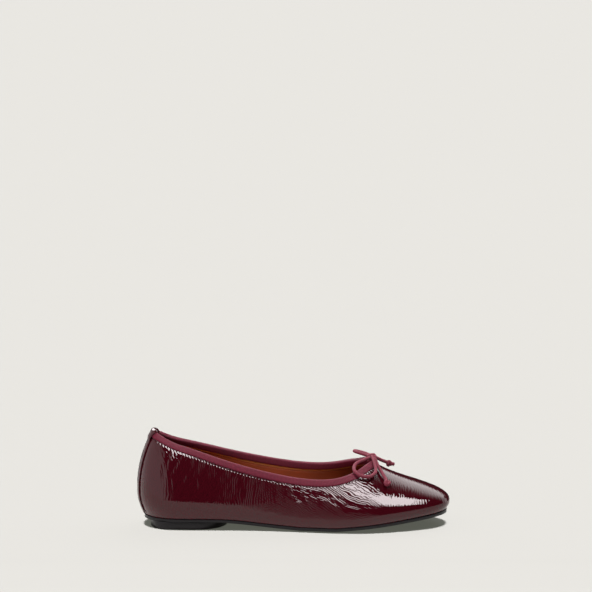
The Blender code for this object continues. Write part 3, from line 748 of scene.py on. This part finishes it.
def build_upper():
    """The patent skin: from its edge tucked under at the sole, up to the collar, and back inside."""
    edge = np.array(EDGE_ROWS_MM) * MM
    edge_rows = np.broadcast_to(edge, (LEATHER.count + 1, len(edge)))
    lower_rows = edge[-1] + (LEATHER.depth[:, None] - edge[-1]) * np.linspace(0, 1, 57)[None, 1:]
    down = np.concatenate((edge_rows, lower_rows), axis=1)[:, ::-1]
    rows = down.shape[1] - 1
    # The tape's seam pulls the skin in, deepest at each stitch
    beat = 0.62 + 0.38 * np.cos(2 * math.pi * LEATHER.collar_run / STITCH_PITCH)[:, None]
    pulled = -0.26 * MM * np.exp(-((down / MM - 5.2) / 0.9) ** 2) * beat
    outside = LEATHER.at(down, pulled)
    away = smooth(down, 6.5 * MM, 10 * MM) * smooth(LEATHER.depth[:, None] - down, 0.0, 5 * MM)
    outside = LEATHER.at(down, pulled + creased(outside) * away)
    inner_rise = np.linspace(1, 0, 13)
    inner_down = LEATHER.depth[:, None] * (1 - inner_rise)[None, :]
    inside = LEATHER.at(inner_down, -SKIN)
    # Lower edge: turned in and down onto the sole
    tuck = LEATHER.at(LEATHER.depth[:, None] * np.array((1.0,)), -0.5 * MM)
    tuck[:, :, 2] -= 0.27 * MM
    points = np.concatenate((tuck, outside, inside, tuck), axis=1)
    uv = np.zeros(points.shape[:2] + (2,))
    uv[:, :, 0] = LEATHER.collar_run[:, None]
    uv[:, 1:rows + 2, 1] = down
    uv[:, 0, 1] = LEATHER.depth
    uv[:, rows + 2:, 1] = 0.1
    piece = loft("patent_upper", points, uv)
    smooth_faces(piece)
    finish_piece(piece, PATENT, "patent", "upper")


def build_lining():
    """The lining: one shell inside the patent skin, from within the tape down to the sole.

    A groove below the tape is its top seam.
    """
    rows = 64
    rise = np.linspace(0, 1, rows + 1)
    down = COARSE.depth[:, None] * (1 - rise)[None, :]
    down = np.maximum(down, 2.2 * MM)
    below = down / MM
    groove = 0.30 * MM * np.exp(-((below - 7.0) / 0.55) ** 2)
    inside = COARSE.at(down, -WALL + groove)
    back = COARSE.at(down[:, ::-8], -SKIN - 0.1 * MM)
    points = np.concatenate((inside, back, inside[:, :1]), axis=1)
    uv = np.zeros(points.shape[:2] + (2,))
    uv[:, :, 0] = COARSE.collar_run[:, None]
    uv[:, :rows + 1, 1] = down
    piece = loft("leather_lining", points, uv)
    smooth_faces(piece)
    finish_piece(piece, LINING, "lining")


# The tape's cross-section in millimetres: down from the leather's edge, and out from its face
TAPE_SECTION = {
    "down": (5.0, 4.95, 4.75, 4.2, 3.2, 2.0, 1.0, 0.2, -0.35, -0.72, -0.93, -1.0,
             -0.93, -0.72, -0.35, 0.2, 1.0, 2.0, 3.2, 4.2, 4.75, 4.95, 5.0,
             4.4, 2.4, 0.2, -0.25, -0.25, 0.2, 2.4, 4.4, 5.0),
    "out":  (0.10, 0.45, 0.75, 0.93, 1.0, 1.0, 1.0, 0.97, 0.82, 0.45, -.1, -.8,
             -1.5, -2.05, -2.42, -2.57, -2.6, -2.6, -2.6, -2.53, -2.35, -2.05, -1.7,
             -1.66, -1.66, -1.66, -1.5, -.1, 0.06, 0.06, 0.06, 0.10),
}


def build_binding():
    """The grosgrain tape, folded over the collar's edge and sewn down on both faces."""
    down = np.array(TAPE_SECTION["down"]) * MM
    out = np.array(TAPE_SECTION["out"]) * MM
    points = LEATHER.at(down[None, :], out[None, :])
    uv = np.zeros(points.shape[:2] + (2,))
    uv[:, :, 0] = LEATHER.collar_run[:, None]
    uv[:, :, 1] = along(np.stack((down, out), axis=-1))[None, :]
    piece = loft("grosgrain_binding", points, uv)
    smooth_faces(piece)
    finish_piece(piece, TAPE, "tape", "topline_binding")


def build_strip():
    """The heel strip: up the back seam, over the binding and down inside."""
    columns = 18
    reach = 34           # how many of the leather's sections it spans on each side
    index = np.arange(reach, -reach - 1, -1)
    ring = LEATHER.grid[:-1][index]
    face = LEATHER.normal[:-1][index]
    seam = ring[reach]
    height = (seam[:, 2] - seam[0, 2]) / (seam[-1, 2] - seam[0, 2])
    half = STRIP_WIDTH * spline(STRIP, "half", height)
    rows = np.arange(len(seam))
    sheet = []
    for j in range(columns + 1):
        place = -1 + 2 * j / columns
        where = np.array([np.interp(place * half[row], ring[:, row, 1], np.arange(len(index)))
                          for row in rows])
        base = np.clip(np.floor(where).astype(int), 0, len(index) - 2)
        part = (where - base)[:, None]
        points = ring[base, rows] * (1 - part) + ring[base + 1, rows] * part
        normal = face[base, rows] * (1 - part) + face[base + 1, rows] * part
        normal /= np.linalg.norm(normal, axis=1, keepdims=True)
        below = along(points[::-1])[::-1]
        skived = 1 - 0.45 * abs(place) ** 8
        # Just below the tape it climbs onto it
        climb = np.clip((BINDING_HEIGHT + 4 * MM - below) / (3 * MM), 0, 1)
        lift = GAP * 1.4 + climb * (BINDING_THICKNESS + GAP) + STRIP_THICKNESS * skived
        outside = (points + normal * lift[:, None])[2:]
        rise = points[-1] - points[-4]
        rise /= np.linalg.norm(rise)
        radius = GAP * 2 + BINDING_THICKNESS + STRIP_THICKNESS * skived
        fold = []
        for angle in np.linspace(10, 170, 11):
            a = math.radians(angle)
            across = WALL / 2 + radius
            fold.append(points[-1] - normal[-1] * WALL / 2 + normal[-1] * across * math.cos(a)
                        + rise * (radius * 1.05) * math.sin(a) ** 0.8)
        tab = (below[::-1] > GAP) & (below[::-1] < STRIP_TAB)
        inside = points[::-1][tab] - normal[::-1][tab] * (WALL + radius)
        sheet.append((outside, np.array(fold), inside))
    shortest = min(len(s[2]) for s in sheet)
    points = np.array([np.concatenate((a, b, c[:shortest])) for a, b, c in sheet])
    uv = np.zeros(points.shape[:2] + (2,))
    uv[:, :, 0] = np.linspace(-1, 1, columns + 1)[:, None] * STRIP_WIDTH / 2
    uv[:, :, 1] = along(points)
    piece = loft("patent_heel_strip", points, uv)
    activate(piece)
    shell = piece.modifiers.new("thickness", "SOLIDIFY")
    shell.thickness = STRIP_THICKNESS * 0.8
    shell.offset = -1
    bpy.ops.object.modifier_apply(modifier=shell.name)
    smooth_faces(piece)
    finish_piece(piece, STRIP_PATENT, "patent", "heel_strip")


# Rims of the sole, heel and sock, from the underside up: share of the height, and out in metres
SOLE_RIM = ((0.0, -0.9 * MM), (0.04, -0.45 * MM), (0.2, -0.1 * MM), (0.5, 0.0), (0.8, 0.15 * MM),
            (0.95, 0.05 * MM), (1.0, -0.25 * MM))
HEEL_RIM = ((0.0, -0.8 * MM), (0.03, -0.4 * MM), (0.12, -0.15 * MM), (0.5, 0.0), (0.9, 0.0),
            (1.0, -0.1 * MM))
SOCK_RIM = ((0.0, -0.2 * MM), (0.3, 0.0), (0.7, 0.0), (0.95, -0.2 * MM), (1.0, -0.5 * MM))


def plate(name, outline, top, bottom, edge, material, slot, *nodes):
    """A slab over a closed outline of outer and inner stations. edge lists (up, out) along the rim."""
    ring = np.concatenate((outline[0], outline[1][-2::-1]), axis=0)
    middle = (outline[0][:, 1] + outline[1][:, 1]) / 2
    centre = np.concatenate((middle, middle[-2::-1]))
    turn = np.roll(ring[:-1], -1, axis=0) - np.roll(ring[:-1], 1, axis=0)
    face = np.stack((turn[:, 1], -turn[:, 0]), axis=-1)
    face /= np.linalg.norm(face, axis=1, keepdims=True)
    face = np.concatenate((face, face[:1]))
    inward = (0.0, 0.25, 0.5, 0.7, 0.84, 0.93, 0.975)
    rows = []
    for share in inward:
        rows.append(layer(ring, centre, share, bottom))
    for up, out in edge:
        spot = layer(ring, centre, 1.0, bottom)
        high = layer(ring, centre, 1.0, top)
        spot[:, 2] += (high[:, 2] - spot[:, 2]) * up
        spot[:, :2] += face * out
        rows.append(spot)
    for share in inward[::-1]:
        rows.append(layer(ring, centre, share, top))
    points = np.stack(rows, axis=1)
    piece = loft(name, points)
    smooth_faces(piece, 50)
    return finish_piece(piece, material, slot, *nodes)


def layer(ring, centre, share, height):
    """The outline drawn in towards the middle line by a share, at a height."""
    y = centre + (ring[:, 1] - centre) * share
    return np.stack((ring[:, 0], y, height(ring[:, 0], share)), axis=-1)


def foot_outline(inset):
    """The upper's lower outline drawn in by an inset, its outer and its inner side."""
    share = (1 - np.cos(np.linspace(0, math.pi, 170))) / 2
    return [feather_point(share, np.full(len(share), side), inset)[:, :2] for side in (-1.0, 1.0)]


def build_sole():
    """The thin sole with its rounded rim, and the low heel under its seat."""
    plate("rubber_outsole", foot_outline(-0.2 * MM), lambda x, out: feather_height(x / LENGTH),
          lambda x, out: sole_underside(x / LENGTH, out), SOLE_RIM, RUBBER, "sole", "outsole")
    ends = (HEEL_BLOCK["first"], HEEL_BLOCK["last"])
    part = (1 - np.cos(np.linspace(0, math.pi, 90))) / 2
    share = ends[0] + part * (ends[1] - ends[0])
    keep = rounded(share, *ends, {"share": HEEL_BLOCK["back"], "power": 2.7},
                   {"share": HEEL_BLOCK["front"], "power": 2.1})
    at = np.maximum(share, HEEL_END["share"])
    sides = []
    for side in (-1, 1):
        half = np.abs(feather_point(at, np.full(len(at), side), HEEL_BLOCK["inset"])[:, 1])
        sides.append(np.stack((share * LENGTH, side * half * keep), axis=-1))
    plate("rubber_heel", sides, lambda x, out: sole_underside(x / LENGTH) + 0.1 * MM,
          lambda x, out: 0 * x, HEEL_RIM, RUBBER, "sole", "heel")


def build_sock():
    """The sock: a leather insole, a little dished."""
    def top(x, out):
        dish = 0.5 * MM * (1 - out ** 2)
        return feather_height(x / LENGTH) + GAP + INSOLE_THICKNESS - dish

    plate("leather_insole", foot_outline(WALL + GAP + 0.4 * MM), top,
          lambda x, out: feather_height(x / LENGTH) + GAP, SOCK_RIM, SOCK, "lining", "insole")


build_upper()
build_lining()
build_binding()
build_strip()
build_sole()
build_sock()

# Floor and light


def paper_material():
    """Seamless paper, lit by a light of its own. The little glow stands for light from all round."""
    material, _, shader = new_material("studio_paper")
    shader.inputs["Base Color"].default_value = (0.1, 0.1, 0.1, 1)
    shader.inputs["Roughness"].default_value = 1.0
    shader.inputs["Specular IOR Level"].default_value = 0.0
    shader.inputs["Emission Color"].default_value = (0.96, 1.0, 0.82, 1)
    shader.inputs["Emission Strength"].default_value = 0.100
    return material


def build_floor():
    """A near sheet, which the shoe mirrors as far as its front edge, and the wide floor of the picture."""
    paper = paper_material()
    sheets = []
    for name, size, place, low in (("paper_near", (3.0, 0.275), (0.05, 0.0125), 0.0),
                                   ("paper_far", (30.0, 30.0), (0.0, 0.0), -0.0005)):
        deselect()
        bpy.ops.mesh.primitive_plane_add(size=1, location=(*place, low))
        sheet = bpy.context.object
        sheet.name = name
        sheet.scale = (*size, 1)
        bpy.ops.object.transform_apply(location=True, rotation=True, scale=True)
        sheet.data.materials.append(paper)
        sheets.append(sheet)
    sheets[1].visible_glossy = False
    sheets[1].visible_diffuse = False
    return sheets


SUBJECT = Vector((0.10, -0.01, 0.04))


def direction(turn, rise):
    """Unit vector towards a turn from the front, toe side positive, and a rise, in degrees."""
    turn, rise = math.radians(turn), math.radians(rise)
    return Vector((math.sin(turn) * math.cos(rise), -math.cos(turn) * math.cos(rise), math.sin(rise)))


def reflector(name, turn, rise, away_by, corners, radiance):
    """A glowing card seen only in mirror reflections: corners in metres on a plane facing the shoe."""
    away = direction(turn, rise)
    right = Vector((math.cos(math.radians(turn)), math.sin(math.radians(turn)), 0))
    up = away.cross(right) * -1
    deselect()
    bpy.ops.mesh.primitive_circle_add(vertices=len(corners), fill_type="NGON")
    card = bpy.context.object
    card.name = name
    for vertex, (a, b) in zip(card.data.vertices, corners):
        vertex.co = SUBJECT + away * away_by + right * a + up * b
    material, _, shader = new_material(name + "_cloth")
    shader.inputs["Base Color"].default_value = (0, 0, 0, 1)
    shader.inputs["Emission Color"].default_value = linear("#FFF6F8")
    shader.inputs["Emission Strength"].default_value = radiance
    card.data.materials.append(material)
    card.visible_camera = False
    card.visible_diffuse = False
    card.visible_shadow = False


def build_lights(sheets):
    """An overhead light for the paper alone, a soft light for the shoe alone, and the cards it mirrors."""
    deselect()
    bpy.ops.object.light_add(type="SUN", location=(0, 0, 2))
    overhead = bpy.context.object
    overhead.name = "paper_light"
    overhead.rotation_euler = (0, math.radians(4), 0)
    overhead.data.energy = 22.5
    overhead.data.color = linear("#F6F3EF")[:3]
    overhead.data.angle = math.radians(13)
    only = bpy.data.collections.new("paper_only")
    other = bpy.data.collections.new("all_but_paper")
    for sheet in sheets:
        only.objects.link(sheet)
        other.objects.link(sheet)
    overhead.light_linking.receiver_collection = only
    # Only what lies low shades the paper, as under a very wide ceiling light
    low = bpy.data.collections.new("shades_the_paper")
    for name in ("rubber_outsole", "rubber_heel"):
        low.objects.link(bpy.data.objects[name])
    overhead.light_linking.blocker_collection = low
    deselect()
    away = direction(8, 62)
    bpy.ops.object.light_add(type="AREA", location=SUBJECT + away * 1.2)
    fill = bpy.context.object
    fill.name = "soft_fill"
    fill.data.shape = "RECTANGLE"
    fill.data.size = 0.7
    fill.data.size_y = 0.7
    fill.data.energy = 8.6
    fill.rotation_mode = "QUATERNION"
    fill.rotation_quaternion = (-away).to_track_quat("-Z", "Y")
    fill.visible_camera = False
    fill.visible_glossy = False
    fill.light_linking.receiver_collection = other
    for member in other.collection_objects:
        member.light_linking.link_state = "EXCLUDE"
    reflector("soft_box", 25, 55, 0.5, ((-0.25, -0.22), (-0.16, -0.28), (-0.12, -0.30), (-0.03, -0.26),
                                        (0.06, -0.21), (0.11, -0.19), (0.15, -0.16), (0.18, -0.09),
                                        (0.24, -0.04), (0.34, 0.04), (0.31, 0.11), (0.29, 0.22),
                                        (0.30, 0.28), (0.22, 0.28), (0.11, 0.19), (0.00, 0.09),
                                        (-0.14, 0.00), (-0.22, -0.09)), 16.0)
    reflector("back_card", -140, 50, 1.2, ((-0.4, -0.35), (0.4, -0.35), (0.4, 0.35), (-0.4, 0.35)), 18.0)


# What the shoe mirrors, by turn from the front in degrees: the brightness low down and higher up
WALLS_LOW = ((-180, 0.02), (-158, 0.02), (-150, 0.87), (-22, 0.87), (-16, 0.015), (99, 0.015),
             (106, 1.4), (125, 1.4), (133, 0.02))
WALLS_HIGH = ((-180, 1.0), (-150, 0.9), (-22, 0.87), (-16, 0.015), (92, 0.015), (108, 0.90), (130, 3.2))


def build_world():
    """The room round the shoe: dark in front, pale walls left and behind, dark above."""
    world = bpy.data.worlds.new("studio")
    bpy.context.scene.world = world
    world.use_nodes = True
    tree = world.node_tree
    shine = tree.nodes["Background"]
    coords = add(tree, "ShaderNodeTexCoord")
    axes = add(tree, "ShaderNodeSeparateXYZ", Vector=coords.outputs["Generated"])
    front = add(tree, "ShaderNodeMath", {"operation": "MULTIPLY"}, _0=axes.outputs[1], _1=-1.0)
    turn = add(tree, "ShaderNodeMath", {"operation": "ARCTAN2"}, _0=axes.outputs[0], _1=front.outputs[0])
    round_it = add(tree, "ShaderNodeMapRange", Value=turn.outputs[0], From_Min=-math.pi, From_Max=math.pi)
    ramps = []
    for table in (WALLS_LOW, WALLS_HIGH):
        ramp = add(tree, "ShaderNodeValToRGB", Fac=round_it.outputs[0])
        ramp_stops(ramp, [((turned + 180) / 360, (level, level * 0.97, level * 0.97, 1))
                          for turned, level in table])
        ramps.append(ramp.outputs[0])
    rise = add(tree, "ShaderNodeMath", {"operation": "ARCSINE"}, _0=axes.outputs[2])
    higher = window(tree, rise.outputs[0], (math.radians(21), math.radians(30)))
    walls = add(tree, "ShaderNodeMix", {"data_type": "RGBA"}, _0=higher, _6=ramps[0], _7=ramps[1])
    overhead = window(tree, rise.outputs[0], (math.radians(47), math.radians(68)))
    room = add(tree, "ShaderNodeMix", {"data_type": "RGBA"}, _0=overhead, _6=walls.outputs[2])
    room.inputs[7].default_value = (0.02, 0.02, 0.02, 1)
    ray = add(tree, "ShaderNodeLightPath")
    seen = add(tree, "ShaderNodeMix", {"data_type": "RGBA"}, _0=ray.outputs["Is Camera Ray"],
               _6=room.outputs[2])
    seen.inputs[7].default_value = linear("#E6E3DE")
    tree.links.new(seen.outputs[2], shine.inputs["Color"])


build_lights(build_floor())
build_world()
bpy.context.scene.view_settings.view_transform = "Standard"
